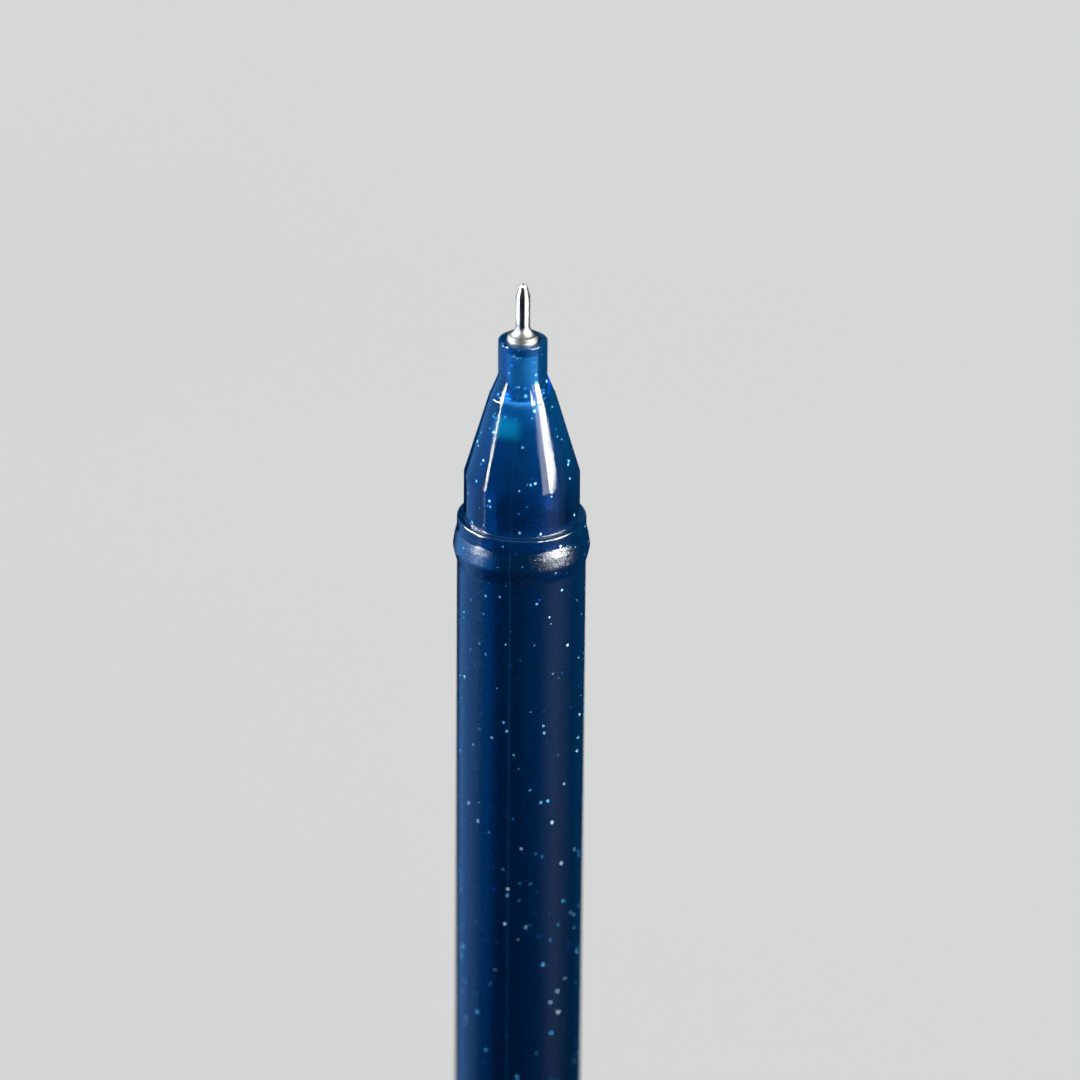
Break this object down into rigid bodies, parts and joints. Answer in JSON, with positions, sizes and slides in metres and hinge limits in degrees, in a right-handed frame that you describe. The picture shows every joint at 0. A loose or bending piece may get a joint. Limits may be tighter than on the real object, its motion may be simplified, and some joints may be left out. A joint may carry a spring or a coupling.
{
  "type": "gel pen",
  "caption": "Capped needle-point gel pen in clear blue glitter plastic, with its clip cap posted on the tail, a removable refill and a rolling ball tip.",
  "frame": {"origin": "centre of the posted cap's flat end face, on the pen's axis", "axes": "+Z along the pen from the tail to the writing tip, -Y towards the pocket clip, +X to the right seen from the clip side"},
  "size_m": [0.0126, 0.0151, 0.168],
  "materials": {
    "clear_blue": "clear deep-blue plastic with metallic glitter, polished nose, finely frosted barrel",
    "solid_blue": "opaque moulded blue plastic",
    "needle_steel": "bright turned steel",
    "ball_carbide": "polished carbide",
    "spring_steel": "drawn wire",
    "holder_plastic": "translucent natural plastic",
    "tube_plastic": "clear extruded plastic",
    "gel_ink": "dark blue gel",
    "follower_grease": "clear straw-coloured grease",
    "seal_plastic": "soft natural plastic",
    "pad_rubber": "soft rubber",
    "clip_steel": "plated spring steel"
  },
  "bodies": {
    "barrel": {"barrel": "clear_blue"},
    "tail": {"end_plug": "solid_blue"},
    "refill": {"ink_tube": "tube_plastic", "tip_holder": "holder_plastic", "needle_tip": "needle_steel", "ink_column": "gel_ink"},
    "follower": {"ink_follower": "follower_grease"},
    "spring": {"tip_spring": "spring_steel"},
    "ball": {"ball": "ball_carbide"},
    "cap": {"cap_shell": "clear_blue", "cap_top_plug": "solid_blue", "cap_inner_seal": "seal_plastic", "cap_tip_pad": "pad_rubber"},
    "clip": {"cap_clip": "clip_steel"}
  },
  "joints": [
    {"name": "cap_slide", "type": "slide", "parent": "barrel", "child": "cap", "axis": [0, 0, -1], "range_m": [0, 0.04]},
    {"name": "clip_flex", "type": "hinge", "parent": "cap", "child": "clip", "pos_m": [0, -0.0056, 0.0038], "axis": [1, 0, 0], "range_deg": [0, 6], "stiffness_Nm_per_rad": 0.05},
    {"name": "plug_slide", "type": "slide", "parent": "barrel", "child": "tail", "axis": [0, 0, -1], "range_m": [0, 0.0095]},
    {"name": "refill_slide", "type": "slide", "parent": "barrel", "child": "refill", "axis": [0, 0, -1], "range_m": [0, 0.0095]},
    {"name": "follower_slide", "type": "slide", "parent": "refill", "child": "follower", "axis": [0, 0, 1], "range_m": [0, 0.067], "deforming": ["ink_column"]},
    {"name": "ball_float", "type": "slide", "parent": "refill", "child": "spring", "axis": [0, 0, -1], "range_m": [0, 0.00003], "deforming": ["tip_spring"]},
    {"name": "ball_roll", "type": "hinge", "parent": "spring", "child": "ball", "pos_m": [0, 0, 0.16777], "axis": [1, 0, 0], "continuous": true}
  ],
  "couplings": [
    {"joint": "refill_slide", "follows": "plug_slide", "ratio": 1}
  ]
}
